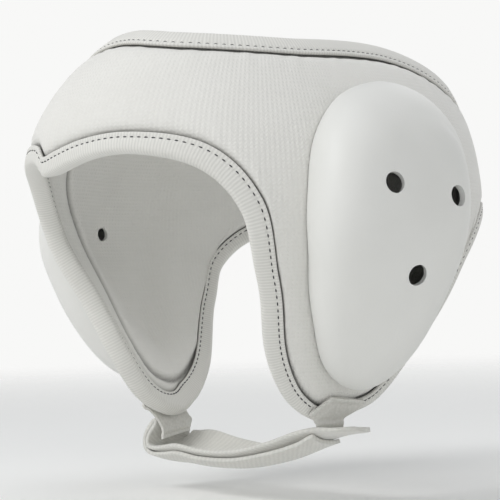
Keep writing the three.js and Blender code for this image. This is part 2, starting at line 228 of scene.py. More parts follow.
# Rows down each strap tab: height of the front edge, how much higher the rear edge is,
# reach inwards below the flap, front edge, rear edge.
TAB_ROWS = {
    "left": [
        (-80.3, -1.9, 0, -18, -2.9),
        (-83.2, -1.5, 0, -21.2, -3.4),
        (-86, -0.8, 0, -24.4, -7),
        (-88, -0.4, 0.1, -23.6, -8.8),
        (-90, 0, 0.4, -21.6, -9.6),
        (-92.4, 0, 1.8, -20.2, -9.2),
        (-94.2, 0, 4.5, -18.5, -8.3),
        (-95.6, 0, 8.5, -17, -7.4),
        (-97.2, 0, 13, -16, -6.8),
    ],
    "right": [
        (-80.8, 0, 0, -19, -2),
        (-83.9, 0, 0, -22, -2),
        (-87, 0, 0, -25, -2),
        (-91, 0.4, 0.4, -20.5, -1.8),
        (-94, 1, 1.6, -18.6, -1.2),
        (-97, 1.6, 2.6, -17.4, -1.4),
        (-99.6, 2.1, 3.2, -17.3, -1.8),
        (-101.4, 2.4, 3.7, -17.6, -2),
    ],
}

# Rows along the chin strap from its free tip to the far fold: across, height, front edge, rear edge,
# rise of the front edge, rise of the rear edge, gap between the layers at the front edge.
STRAP_ROWS = [
    (67.2, -94.2, -20, -4, 0.6, -0.4, 0),
    (61, -95.7, -21.5, -3, 1.6, 0, 0.8),
    (52, -96.9, -22.5, -2.5, 2.7, 0, 0.5),
    (42, -100.4, -23, -2, 4.3, 1.4, 2.6),
    (26, -105.8, -24, -2, 5, 3, 2),
    (4, -109.8, -24, -2, 4.8, 5.4, 1.4),
    (-18, -110.9, -23.5, -1.5, 5.1, 8.2, 1.2),
    (-36, -110.4, -22, -0.5, 5.8, 10.2, 1.2),
    (-47.4, -110.5, -20.5, 0.4, 4.6, 9.7, 1),
    (-56.4, -109.5, -20.2, 1.4, 2.8, 8.6, 0.6),
    (-61.3, -106.3, -19.9, 2.4, 1.2, 6.4, 0.2),
    (-61.5, -102, -19.2, 2.6, 0, 2, 0),
    (-58.8, -98.2, -19, 2, 0, 0, 0),
    (-56.2, -95.4, -18.5, 1, 0, 0, 0),
]


# Form of the guard

def between(rows, place):
    """Smooth reading of a table at places between its rows, every column at once."""
    rows = np.asarray(rows, float)
    place = np.asarray(place, float)
    last = len(rows) - 1
    index = np.clip(np.floor(place).astype(int), 0, last - 1)
    t = (place - index)[..., None]
    start = rows[index]
    end = rows[index + 1]
    slope_in = (end - rows[np.maximum(index - 1, 0)]) / np.where(index > 0, 2, 1)[..., None]
    slope_out = (rows[np.minimum(index + 2, last)] - start) / np.where(index < last - 1, 2, 1)[..., None]
    return (
        (2 * t**3 - 3 * t**2 + 1) * start
        + (t**3 - 2 * t**2 + t) * slope_in
        + (3 * t**2 - 2 * t**3) * end
        + (t**3 - t**2) * slope_out
    )


def even_places(point_at, first, last, count):
    """Places from first to last that cut the curve point_at(place) into equal lengths."""
    places = np.linspace(first, last, 2001)
    steps = np.linalg.norm(np.diff(point_at(places), axis=0), axis=1)
    lengths = np.concatenate([[0], np.cumsum(steps)])
    return np.interp(np.linspace(0, lengths[-1], count + 1), lengths, places)


def unit(vectors):
    return vectors / np.linalg.norm(vectors, axis=-1, keepdims=True)


def signed_power(value, power):
    return np.sign(value) * np.abs(value) ** power


def level_at(height):
    """Half width, reach forwards and reach backwards of the outer face at a height."""
    place = (np.asarray(height, float) - LEVELS[0][0]) / LEVEL_STEP
    return np.moveaxis(between([row[1:] for row in LEVELS], place), -1, 0)


def face_point(turn, height):
    """A point of the band's outer face."""
    side, front, back = level_at(height)
    sine = signed_power(np.sin(turn), 2 / SQUARENESS)
    cosine = signed_power(np.cos(turn), 2 / SQUARENESS)
    reach = np.where(cosine > 0, front, back)
    return np.stack([side * sine, -reach * cosine, height + 0 * sine], -1)


def spot_of(points):
    """Turn and height of the spot of the outer face that lies beside each point."""
    x, y, z = np.moveaxis(points, -1, 0)
    side, front, back = level_at(z)
    sine = signed_power(x / side, SQUARENESS / 2)
    cosine = signed_power(-y / np.where(y < 0, front, back), SQUARENESS / 2)
    return np.arctan2(sine, cosine), z


def side_spot(along, height):
    """Turn and height of a spot on the +X side, given its place along Y."""
    _, front, back = level_at(height)
    cosine = signed_power(-along / np.where(along < 0, front, back), SQUARENESS / 2)
    return np.arccos(cosine), height


def face_normal(turn, height):
    small = 0.01
    sideways = face_point(turn + small, height) - face_point(turn - small, height)
    upward = face_point(turn, height + 1) - face_point(turn, height - 1)
    return unit(np.cross(sideways, upward))


def layer_point(spot, depth):
    """A point below the outer face; a negative depth stands off it."""
    return face_point(*spot) - face_normal(*spot) * np.asarray(depth, float)[..., None]


def evened_round(values, spread):
    """Values averaged round a loop with a bell that is that many steps wide."""
    reach = math.ceil(3 * spread)
    steps = range(-reach, reach + 1)
    return sum(math.exp(-0.5 * (step / spread) ** 2) * np.roll(values, step, axis=0) for step in steps)


def tongue_drop(turn):
    """How far the lower edge dips at the tongue of its tape."""
    beyond = np.degrees(turn) - TONGUE_TURN
    spread = np.where(beyond > 0, TONGUE_RUN, TONGUE_END)
    return TONGUE_DROP * np.exp(-(beyond / spread) ** 2)


def tongue_lift(turn):
    """How far the overlapping end stands out from the rest of the lower edge's tape."""
    beyond = np.degrees(turn) - TONGUE_TURN
    return np.where(beyond > 0, TONGUE_LIFT * np.exp(-(beyond / TONGUE_RUN) ** 2), 0)


def flap_twist(turn):
    """Rise of the left flap's lower edge before the middle of its twist, and fall beyond it."""
    beyond = (np.degrees(turn) - TWIST_TURN) / TWIST_RUN
    to_full_height = 2.33  # the curve that follows rises to 0.43 by itself
    return -to_full_height * TWIST_RISE * beyond * np.exp(-beyond**2)


class EdgeColumns:
    """Evenly spaced columns round a bound edge, with the way across the band from each."""

    def __init__(self, rows, inward, count):
        table = np.array(rows, float)
        table[:, 0] = np.radians(table[:, 0])
        other_half = [-1, 1, 1, 1, 1, 1]
        whole_turn = [2 * math.pi, 0, 0, 0, 0, 0]
        first = table[1] * other_half
        last = table[-2] * other_half + whole_turn
        table = np.vstack([first, table, last])
        places = even_places(lambda at: face_point(*between(table, at)[:, :2].T), 1, len(rows), count // 2)
        half = between(table, places)
        turn, height, *laps = np.vstack([half, half[-2:0:-1] * other_half]).T
        self.lap, self.lap_inside, self.inset, self.inset_inside = laps
        turn = (turn + math.pi) % (2 * math.pi) - math.pi
        height = height + (flap_twist(turn) - tongue_drop(turn)) * (inward > 0)
        self.lift = tongue_lift(turn) * (inward > 0)
        self.point = face_point(turn, height)
        self.length = np.linalg.norm(np.diff(self.point, axis=0, append=self.point[:1]), axis=1).sum()
        self.share = np.arange(count) / count
        along = unit(np.roll(self.point, -1, 0) - np.roll(self.point, 1, 0))
        across = np.cross(face_normal(turn, height), along) * inward
        self.across = unit(evened_round(across, EDGE_EASE * count / self.length))

    def in_from(self, distance):
        """Spots at distances in from the edge, a row of them for each column."""
        moved = self.point[:, None] + self.across[:, None] * np.asarray(distance, float)[..., None]
        return spot_of(moved)

    def stitch_line(self, outward):
        """Distance from the edge to the row of stitches, outside or inside."""
        return self.lap - self.inset if outward > 0 else self.lap_inside - self.inset_inside


def waves(share, length, wavelength, phase):
    """A wave that closes on itself round a loop of that length."""
    return np.sin(2 * math.pi * round(length / wavelength) * share + phase)


# Outline of a cup, and what lies inside it

def cup_edge(share):
    """Along, height and fullness of the cup's outline at shares of its length."""
    table = [CUP_OUTLINE[-1], *CUP_OUTLINE, *CUP_OUTLINE[:2]]
    places = even_places(
        lambda at: layer_point(side_spot(*between(table, at)[:, :2].T), np.zeros(len(at))),
        1, len(CUP_OUTLINE) + 1, 1000)
    return np.moveaxis(between(table, np.interp(share, np.linspace(0, 1, 1001), places)), -1, 0)


def distance_to(points, line):
    """Distance of points from a line on the +X side or its mirror image."""
    mirrored = np.abs(points) * [1, 0, 0] + points * [0, 1, 1]
    nearest = np.full(points.shape[:-1], np.inf)
    for point in line:
        nearest = np.minimum(nearest, np.linalg.norm(mirrored - point, axis=-1))
    return nearest


def cup_ring(along, height):
    """Share of the way from the cup's middle to its outline, and the dome's fullness that way."""
    edge_along, edge_height, fullness = cup_edge(np.linspace(0, 1, CUP_LINE_POINTS, endpoint=False))
    bearings = np.arctan2(edge_height - CUP_MIDDLE[1], edge_along - CUP_MIDDLE[0])
    reaches = np.hypot(edge_height - CUP_MIDDLE[1], edge_along - CUP_MIDDLE[0])
    bearing = np.arctan2(height - CUP_MIDDLE[1], along - CUP_MIDDLE[0])
    reach = np.interp(bearing, bearings, reaches, period=2 * math.pi)
    ring = np.hypot(height - CUP_MIDDLE[1], along - CUP_MIDDLE[0]) / reach
    return ring, np.interp(bearing, bearings, fullness, period=2 * math.pi)


def dome_rise(ring, fullness):
    """Height of the cup's outside over the band's face."""
    own = np.clip(ring / CUP_TOP, 0, 1) ** 2
    power = CUP_TOP_FULLNESS * (1 - own) + fullness * own
    return CUP_AIR + CUP_RIM + (CUP_RISE - CUP_RIM) * np.sqrt(1 - np.minimum(ring, 1) ** power)


def cup_distance(points):
    """Distance of face points from the cups' outlines, negative inside them."""
    along, height, _ = cup_edge(np.linspace(0, 1, CUP_LINE_POINTS, endpoint=False))
    nearest = distance_to(points, face_point(*side_spot(along, height)))
    ring, _ = cup_ring(points[..., 1], points[..., 2])
    return np.where(ring < 1, -nearest, nearest)


def lining_distance(points):
    """Distance of face points from the seams of the flaps' linings."""
    along, height = between(LINING_SEAM, np.linspace(0, len(LINING_SEAM) - 1, 240)).T
    return distance_to(points, face_point(*side_spot(along, height)))


# Making and finishing pieces

def deselect_all():
    if bpy.context.object and bpy.context.object.mode != "OBJECT":
        bpy.ops.object.mode_set(mode="OBJECT")
    bpy.ops.object.select_all(action="DESELECT")


def make_active(piece):
    deselect_all()
    piece.select_set(True)
    bpy.context.view_layer.objects.active = piece


def mesh_points(piece):
    flat = np.empty(len(piece.data.vertices) * 3)
    piece.data.vertices.foreach_get("co", flat)
    return flat.reshape(-1, 3)


def set_points(piece, points):
    piece.data.vertices.foreach_set("co", np.ascontiguousarray(points, np.float32).ravel())
    piece.data.update()


def shaped_grid(name, columns, rows, place, seam=None):
    """A flat grid whose points go to place(column, row); edges that meet are merged."""
    deselect_all()
    bpy.ops.mesh.primitive_grid_add(x_subdivisions=columns, y_subdivisions=rows, size=1)
    piece = bpy.context.object
    piece.name = name
    flat = mesh_points(piece) + 0.5
    column = np.rint(flat[:, 0] * columns).astype(int)
    row = np.rint(flat[:, 1] * rows).astype(int)
    set_points(piece, place(column, row) * MM)
    if seam is not None:
        # The seam attribute holds how much shade is painted on the padding at each point.
        painted_shade = piece.data.attributes.new("seam", "FLOAT", "POINT")
        painted_shade.data.foreach_set("value", seam(column, row).astype(np.float32))
    bpy.ops.object.mode_set(mode="EDIT")
    bpy.ops.mesh.select_all(action="SELECT")
    bpy.ops.mesh.remove_doubles(threshold=1e-6)
    bpy.ops.mesh.normals_make_consistent(inside=False)
    bpy.ops.object.mode_set(mode="OBJECT")
    bpy.ops.object.shade_smooth()
    return piece


def turn_inside_out(piece):
    make_active(piece)
    bpy.ops.object.mode_set(mode="EDIT")
    bpy.ops.mesh.select_all(action="SELECT")
    bpy.ops.mesh.flip_normals()
    bpy.ops.object.mode_set(mode="OBJECT")


def apply_modifier(piece, kind, **settings):
    make_active(piece)
    bpy.ops.object.modifier_add(type=kind)
    modifier = piece.modifiers[-1]
    for name, value in settings.items():
        setattr(modifier, name, value)
    bpy.ops.object.modifier_apply(modifier=modifier.name)


def pierce(piece, middle, axis, radius, depth):
    """Cuts a round hole of that depth through a piece."""
    deselect_all()
    bpy.ops.mesh.primitive_cylinder_add(
        vertices=48, radius=radius * MM, depth=depth * MM,
        location=middle * MM, rotation=Vector(axis).to_track_quat("Z", "Y").to_euler())
    punch = bpy.context.object
    apply_modifier(piece, "BOOLEAN", operation="DIFFERENCE", object=punch, solver="EXACT")
    bpy.data.objects.remove(punch)


def mirror(piece):
    """Moves a piece to the other side of the head."""
    set_points(piece, mesh_points(piece) * [-1, 1, 1])
    turn_inside_out(piece)


def mirrored_copy(piece, name):
    make_active(piece)
    bpy.ops.object.duplicate()
    copy = bpy.context.object
    copy.name = name
    mirror(copy)
    return copy


def settle(piece, node, material):
    """Puts the finish on a piece and lets it stand for its node."""
    piece.data.materials.clear()
    piece.data.materials.append(material)
    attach(piece, "root")
    if node:
        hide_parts(node)


# Finishes

WAVE_BAND = math.pi / 10  # length of one band of a wave texture at a scale of 1


def to_linear(code):
    """An sRGB hex colour as linear red, green, blue and alpha."""
    parts = [int(code[i:i + 2], 16) / 255 for i in (1, 3, 5)]
    return [p / 12.92 if p <= 0.04045 else ((p + 0.055) / 1.055) ** 2.4 for p in parts] + [1]


def add_node(tree, kind, inputs, **settings):
    """Adds a node with its settings; an input is a number, a colour or another node's socket."""
    node = tree.nodes.new(kind)
    for name, value in settings.items():
        setattr(node, name, value)
    for name, value in inputs.items():
        if isinstance(value, bpy.types.NodeSocket):
            tree.links.new(value, node.inputs[name])
        else:
            node.inputs[name].default_value = value
    return node


def new_finish(name, **sockets):
    """A material with its principled shader's constant sockets set."""
    material = bpy.data.materials.new(name)
    material.use_nodes = True
    shader = material.node_tree.nodes["Principled BSDF"]
    for socket, value in sockets.items():
        shader.inputs[socket.replace("_", " ")].default_value = value
    return material, material.node_tree, shader


def join_shader(tree, shader, colour, bump):
    """Gives a material's shader its colour and its bump."""
    tree.links.new(colour.outputs["Result"], shader.inputs["Base Color"])
    tree.links.new(bump.outputs["Normal"], shader.inputs["Normal"])


def knit_over_foam():
    """White polyester knit laminated to foam: matt, in columns of loops, with painted shade where it is
    sewn down, along the lining's seam and along the cups' edges.
    """
    material, tree, shader = new_finish(
        "knit_over_foam", Roughness=0.9, Sheen_Weight=0.25, Sheen_Roughness=0.5)
    girth = 540.0
    loop_width = 1.8  # real loops are about 0.8 mm; drawn coarser so that they show
    loop_height = 1.5
    cloud_size = 40.0
    place = add_node(tree, "ShaderNodeTexCoord", {}).outputs["Object"]
    split = add_node(tree, "ShaderNodeSeparateXYZ", {"Vector": place})
    turn = add_node(tree, "ShaderNodeMath", {
        0: split.outputs["X"], 1: split.outputs["Y"],
    }, operation="ARCTAN2")
    column = add_node(tree, "ShaderNodeMath", {
        0: turn.outputs["Value"], 1: round(girth / loop_width) / (2 * math.pi),
    }, operation="MULTIPLY")
    from_middle = add_node(tree, "ShaderNodeMath", {
        0: column.outputs["Value"], 1: 0.5,
    }, operation="PINGPONG")
    row = add_node(tree, "ShaderNodeMath", {
        0: split.outputs["Z"], 1: 1 / (loop_height * MM), 2: from_middle.outputs["Value"],
    }, operation="MULTIPLY_ADD")
    leg = add_node(tree, "ShaderNodeMath", {0: row.outputs["Value"], 1: 0.5}, operation="PINGPONG")
    loops = add_node(tree, "ShaderNodeMath", {
        0: leg.outputs["Value"], 1: from_middle.outputs["Value"],
    }, operation="SUBTRACT")
    clouds = add_node(tree, "ShaderNodeTexNoise", {
        "Vector": place, "Scale": 1 / (cloud_size * MM), "Detail": 3,
    })
    cloth = add_node(tree, "ShaderNodeMix", {
        "Factor": clouds.outputs["Fac"], "A": to_linear("#e6e5e1"), "B": to_linear("#dad9d4"),
    }, data_type="RGBA")
    # Painted shade: the seam attribute darkens the cloth towards #8f8e8a beside stitched edges, the
    # lining's seam and the cups' edges, and where it is tucked under the tapes.
    seam = add_node(tree, "ShaderNodeAttribute", {}, attribute_name="seam")
    painted_shade = add_node(tree, "ShaderNodeMix", {
        "Factor": seam.outputs["Fac"], "A": cloth.outputs["Result"], "B": to_linear("#8f8e8a"),
    }, data_type="RGBA")
    bump = add_node(tree, "ShaderNodeBump", {
        "Height": loops.outputs["Value"], "Strength": 0.5, "Distance": 0.4 * MM,
    })
    join_shader(tree, shader, painted_shade, bump)
    return material


def woven_tape(length, width):
    """Grosgrain binding tape: close ribs across its length and a slight sheen."""
    material, tree, shader = new_finish("woven_tape", Roughness=0.75, Sheen_Weight=0.15)
    rib_pitch = 1.2  # real ribs are about 0.6 mm; drawn coarser so that they show
    place = add_node(tree, "ShaderNodeTexCoord", {}).outputs["UV"]
    flat = add_node(tree, "ShaderNodeMapping", {"Vector": place, "Scale": (length, width, 1)})
    ribs = add_node(tree, "ShaderNodeTexWave", {
        "Vector": flat.outputs["Vector"], "Scale": WAVE_BAND / rib_pitch, "Distortion": 0.6, "Detail": 1,
    }, wave_type="BANDS", bands_direction="X")
    cloth = add_node(tree, "ShaderNodeMix", {
        "Factor": ribs.outputs["Fac"], "A": to_linear("#d3d2cd"), "B": to_linear("#e0dfda"),
    }, data_type="RGBA")
    bump = add_node(tree, "ShaderNodeBump", {
        "Height": ribs.outputs["Fac"], "Strength": 0.35, "Distance": 0.2 * MM,
    })
    join_shader(tree, shader, cloth, bump)
    return material


def moulded_foam():
    """Closed-cell foam with a moulded skin: smooth, satin, with a fine grain."""
    material, tree, shader = new_finish("moulded_foam", Roughness=0.5, IOR=1.48)
    grain_size = 0.9
    cloud_size = 35.0
    place = add_node(tree, "ShaderNodeTexCoord", {}).outputs["Object"]
    grain = add_node(tree, "ShaderNodeTexNoise", {
        "Vector": place, "Scale": 1 / (grain_size * MM), "Detail": 2,
    })
    clouds = add_node(tree, "ShaderNodeTexNoise", {
        "Vector": place, "Scale": 1 / (cloud_size * MM), "Detail": 2,
    })
    skin = add_node(tree, "ShaderNodeMix", {
        "Factor": clouds.outputs["Fac"], "A": to_linear("#e4e4e1"), "B": to_linear("#dbdbd7"),
    }, data_type="RGBA")
    bump = add_node(tree, "ShaderNodeBump", {
        "Height": grain.outputs["Fac"], "Strength": 0.2, "Distance": 0.2 * MM,
    })
    join_shader(tree, shader, skin, bump)
    return material


def loop_webbing(length, width):
    """Brushed loop webbing of a hook and loop strap: a fine twill under a fuzzy nap, without gloss."""
    material, tree, shader = new_finish(
        "loop_webbing", Roughness=0.95, Sheen_Weight=0.4, Sheen_Roughness=0.6)
    twill_pitch = 1.3
    fuzz_size = 0.9
    place = add_node(tree, "ShaderNodeTexCoord", {})
    flat = add_node(tree, "ShaderNodeMapping", {"Vector": place.outputs["UV"], "Scale": (length, width, 1)})
    twill = add_node(tree, "ShaderNodeTexWave", {
        "Vector": flat.outputs["Vector"], "Scale": WAVE_BAND / twill_pitch, "Distortion": 2.5, "Detail": 2,
    }, wave_type="BANDS", bands_direction="DIAGONAL")
    fuzz = add_node(tree, "ShaderNodeTexNoise", {
        "Vector": place.outputs["Object"], "Scale": 1 / (fuzz_size * MM), "Detail": 3,
    })
    nap = add_node(tree, "ShaderNodeMix", {
        "Factor": 0.65, "A": twill.outputs["Fac"], "B": fuzz.outputs["Fac"],
    }, data_type="FLOAT")
    cloth = add_node(tree, "ShaderNodeMix", {
        "Factor": nap.outputs["Result"], "A": to_linear("#c6c5bf"), "B": to_linear("#dbdad4"),
    }, data_type="RGBA")
    bump = add_node(tree, "ShaderNodeBump", {
        "Height": nap.outputs["Result"], "Strength": 0.5, "Distance": 0.3 * MM,
    })
    join_shader(tree, shader, cloth, bump)
    return material


def coated_leather():
    """Coated synthetic leather: a pebbled grain under a satin coat."""
    material, tree, shader = new_finish("coated_leather", Roughness=0.45, IOR=1.5)
    pebble_size = 1.1
    place = add_node(tree, "ShaderNodeTexCoord", {}).outputs["Object"]
    pebbles = add_node(tree, "ShaderNodeTexVoronoi", {"Vector": place, "Scale": 1 / (pebble_size * MM)})
    coat = add_node(tree, "ShaderNodeMix", {
        "Factor": pebbles.outputs["Distance"], "A": to_linear("#d9d8d3"), "B": to_linear("#c8c7c1"),
    }, data_type="RGBA")
    bump = add_node(tree, "ShaderNodeBump", {
        "Height": pebbles.outputs["Distance"], "Strength": 0.3, "Distance": 0.2 * MM,
    }, invert=True)
    join_shader(tree, shader, coat, bump)
    return material


def sewing_thread():
    """Dark bonded polyester thread with the twist of its plies."""
    material, tree, shader = new_finish("sewing_thread", Roughness=0.55)
    ply_pitch = 0.5
    place = add_node(tree, "ShaderNodeTexCoord", {}).outputs["Object"]
    plies = add_node(tree, "ShaderNodeTexNoise", {"Vector": place, "Scale": 1 / (ply_pitch * MM)})
    thread = add_node(tree, "ShaderNodeMix", {
        "Factor": plies.outputs["Fac"], "A": to_linear("#232326"), "B": to_linear("#3b3b40"),
    }, data_type="RGBA")
    tree.links.new(thread.outputs["Result"], shader.inputs["Base Color"])
    return material


# Padded band

def edge_dent(distance):
    """Depth of the padding at a distance from a stitched edge: pressed down, then swollen."""
    pressed = TAPE_SINK * np.exp(-distance / PRESS_REACH)
    swollen = PUFF * (distance / PUFF_REACH) * np.exp(1 - distance / PUFF_REACH)
    return pressed - swollen


def padded_face(lower, crown, lower_lap, crown_lap):
    """Spots of the padding from tape to tape, the depth of its relief, and how much shade is painted along
    its stitched edges.
    """
    low = face_point(*lower.in_from((lower_lap + TAPE_GAP)[:, None]))
    high = face_point(*crown.in_from((crown_lap + TAPE_GAP)[:, None]))
    even = np.linspace(0, 1, BAND_ROWS + 1)
    closer_at_tapes = (1 - np.cos(math.pi * even)) / 2
    crowding = 0.7  # how far the rows are drawn together beside the tapes
    share = ((1 - crowding) * even + crowding * closer_at_tapes)[None, :, None]
    spots = spot_of(low * (1 - share) + high * share)
    face = face_point(*spots)
    steps = np.linalg.norm(np.diff(face, axis=1), axis=2)
    from_low = np.concatenate([np.zeros((BAND_COLUMNS, 1)), np.cumsum(steps, axis=1)], axis=1)
    from_high = from_low[:, -1:] - from_low
    x, y, z = np.moveaxis(face, -1, 0)
    relief = UNEVENNESS * np.sin(x / 13 + z / 17) * np.sin(y / 15 - z / 11)
    long_gather, short_gather = PUCKER_LENGTHS
    for columns, distance in ((lower, from_low), (crown, from_high)):
        ripple = waves(columns.share, columns.length, long_gather, 0)
        ripple = ripple + 0.7 * waves(columns.share, columns.length, short_gather, 1)
        fading = np.exp(-distance / PUFF_REACH) * (1 - np.exp(-distance / PUCKER_START))
        relief = relief + PUCKER * ripple[:, None] * fading + edge_dent(distance)
    return spots, relief, np.exp(-np.minimum(from_low, from_high) / EDGE_SHADE)


def padded_band():
    lower = EdgeColumns(LOWER_EDGE, 1, BAND_COLUMNS)
    crown = EdgeColumns(CROWN_EDGE, -1, BAND_COLUMNS)
    outer_spots, relief, seam = padded_face(lower, crown, lower.lap, crown.lap)
    from_cup = cup_distance(face_point(*outer_spots))
    beside_cup = np.where(from_cup > 0, np.exp(-from_cup / CUP_PINCH_REACH), 1)
    outside = relief * (1 - beside_cup) + CUP_PINCH * beside_cup
    # Painted shade: the padding is greyed along the cup's edge, reaching CUP_COVER under it, as well as
    # along its stitched edges.
    outer_painted_shade = np.maximum(seam, np.exp(-(from_cup / CUP_SHADE) ** 2) * (from_cup > -CUP_COVER))

    inner_spots, relief, seam = padded_face(lower, crown, lower.lap_inside, crown.lap_inside)
    from_cup = cup_distance(face_point(*inner_spots))
    in_recess = np.clip(-from_cup / RECESS_SLOPE, 0, 1)
    recess = RECESS_DEPTH * in_recess**2 * (3 - 2 * in_recess)
    from_lining = lining_distance(face_point(*inner_spots))
    near_lining = np.exp(-(from_lining / SEAM_WIDTH) ** 2)
    swelling = SEAM_SWELL * np.exp(-((from_lining - SEAM_SWELL_PLACE) / SEAM_SWELL_WIDTH) ** 2)
    lining = SEAM_DENT * near_lining - swelling
    inside = BAND_WALL - INNER_RELIEF * relief - recess - lining
    # Painted shade on the inner face: greyed along the lining's seam and along its stitched edges.
    inner_painted_shade = np.maximum(seam, near_lining)

    under_low = lower.in_from(np.full((BAND_COLUMNS, 1), TAPE_FOLD + TAPE_GAP))
    under_high = crown.in_from(np.full((BAND_COLUMNS, 1), TAPE_FOLD + TAPE_GAP))
    sunk = np.full((BAND_COLUMNS, 1), TAPE_SINK)
    section = np.concatenate([
        layer_point(under_low, sunk),
        layer_point(outer_spots, outside),
        layer_point(under_high, sunk),
        layer_point(under_high, BAND_WALL - sunk),
        layer_point(inner_spots, inside)[:, ::-1],
        layer_point(under_low, BAND_WALL - sunk),
    ], axis=1)
    rows = section.shape[1]
    # The padding turned under the tapes is given full painted shade.
    ends = np.ones((BAND_COLUMNS, 1))
    painted_shades = np.concatenate([ends, outer_painted_shade, ends, ends, inner_painted_shade[:, ::-1], ends], axis=1)
    band = shaped_grid(
        "band_padding", BAND_COLUMNS, rows,
        lambda column, row: section[column % BAND_COLUMNS, row % rows],
        lambda column, row: painted_shades[column % BAND_COLUMNS, row % rows])
    spot = side_spot(*VENT)
    for side in (1, -1):
        middle = layer_point(spot, BAND_WALL / 2) * [side, 1, 1]
        pierce(band, middle, face_normal(*spot) * [side, 1, 1], VENT_RADIUS, 2 * BAND_WALL)
    return band


# Bindings

def tape_lap(width, inset):
    """(distance in, depth) pairs across a lap of the tape, from its edge to its fold."""
    edge = TAPE_EDGE + [(inset + distance, depth) for distance, depth in TAPE_DENT]
    lap = [(width - distance, depth - TAPE_PROUD) for distance, depth in edge]
    across = np.linspace(lap[-1][0], TAPE_ROUND, 5)[1:-1]
    return lap + [(distance, -TAPE_CROWN - TAPE_PROUD) for distance in across]


def tape_profile(lap, lap_inside, inset, inset_inside):
    """(distance in, depth) pairs round a folded tape, from its outer edge to its inner edge."""
    face = tape_lap(lap, inset)
    half = BAND_WALL / 2
    reach = half + TAPE_SWELL + TAPE_PROUD
    fold = []
    for angle in np.radians(np.linspace(90, -90, 11)):
        in_from_edge = TAPE_ROUND * (1 - math.cos(angle) ** TAPE_FULLNESS)
        fold.append((in_from_edge, half - reach * signed_power(math.sin(angle), TAPE_FULLNESS)))
    back = [
        (distance, BAND_WALL - depth)
        for distance, depth in reversed(tape_lap(lap_inside, inset_inside))
    ]
    under = [(TAPE_FOLD, BAND_WALL - TAPE_WALL), (TAPE_FOLD, TAPE_WALL)]
    return np.array(face + fold + back + under)


def binding(name, columns):
    """A tape folded over an edge of the band, with the small gathers that its stitches draw."""
    laps = zip(columns.lap, columns.lap_inside, columns.inset, columns.inset_inside)
    profiles = np.array([tape_profile(*lap) for lap in laps])
    distance = profiles[..., 0]
    depth = profiles[..., 1]
    count = stitch_count(columns)
    outward = np.where(depth < BAND_WALL / 2, 1, -1)
    seam = np.where(outward > 0, columns.stitch_line(1)[:, None], columns.stitch_line(-1)[:, None])
    along = np.cos(2 * math.pi * count * columns.share)[:, None]
    gathers = TAPE_GATHER * along * np.exp(-((distance - seam) / TAPE_GATHER_REACH) ** 2)
    raised = depth + (gathers - columns.lift[:, None]) * outward
    section = layer_point(columns.in_from(distance), raised)
    rows = section.shape[1]
    return shaped_grid(
        name, TAPE_COLUMNS, rows,
        lambda column, row: section[column % TAPE_COLUMNS, row % rows])


# Stitches

def stitch_count(columns):
    return round(columns.length / STITCH_PITCH)


def one_stitch():
    """Points and faces of a stitch along X: a short round thread that dives in at both ends."""
    deselect_all()
    bpy.ops.mesh.primitive_uv_sphere_add(segments=8, ring_count=6, radius=0.5)
    ball = bpy.context.object
    along = mesh_points(ball)[:, 2] * 2
    points = np.stack([
        along * STITCH_LENGTH / 2,
        mesh_points(ball)[:, 0] * STITCH_WIDTH,
        mesh_points(ball)[:, 1] * STITCH_HEIGHT - STITCH_DIVE * along**2,
    ], axis=1)
    faces = [list(face.vertices) for face in ball.data.polygons]
    bpy.data.objects.remove(ball)
    return points, faces


def stitch_row(columns, depth, outward):
    """Middle, direction and way out of each stitch of a row along a binding."""
    spots = columns.in_from(columns.stitch_line(outward)[:, None])
    path = layer_point(spots, depth - outward * columns.lift[:, None])[:, 0]
    normals = face_normal(*spots)[:, 0] * outward
    count = stitch_count(columns)
    places = (np.arange(count) + 0.5) / count * len(path)
    first = np.floor(places).astype(int)
    after = (first + 1) % len(path)
    part = (places - first)[:, None]
    middles = path[first] * (1 - part) + path[after] * part
    return middles, unit(path[after] - path[first]), normals[first]


def stitches(name, columns, stitch):
    """Both rows of a binding's seam, outside and inside, as one mesh."""
    points, faces = stitch
    all_points = []
    all_faces = []
    outer_depth = STITCH_SINK - TAPE_PROUD
    for depth, outward in ((outer_depth, 1), (BAND_WALL - outer_depth, -1)):
        for middle, along, out in zip(*stitch_row(columns, depth, outward)):
            if outward > 0 and under_tab(middle):
                continue
            basis = np.array([along, np.cross(out, along), out])
            start = len(all_points) * len(points)
            all_points.append(points @ basis + middle)
            all_faces += [[start + corner for corner in face] for face in faces]
    mesh = bpy.data.meshes.new(name)
    mesh.from_pydata(np.concatenate(all_points) * MM, [], all_faces)
    piece = bpy.data.objects.new(name, mesh)
    bpy.context.collection.objects.link(piece)
    make_active(piece)
    bpy.ops.object.shade_smooth()
    return piece


def under_tab(point):
    """Whether a strap tab covers that point of the binding."""
    heights, _, _, fronts, rears = np.array(TAB_ROWS["left" if point[0] > 0 else "right"]).T
    front = np.interp(-point[2], -heights, fronts)
    rear = np.interp(-point[2], -heights, rears)
    return point[2] < heights[0] and front < point[1] < rear


# Ear cups

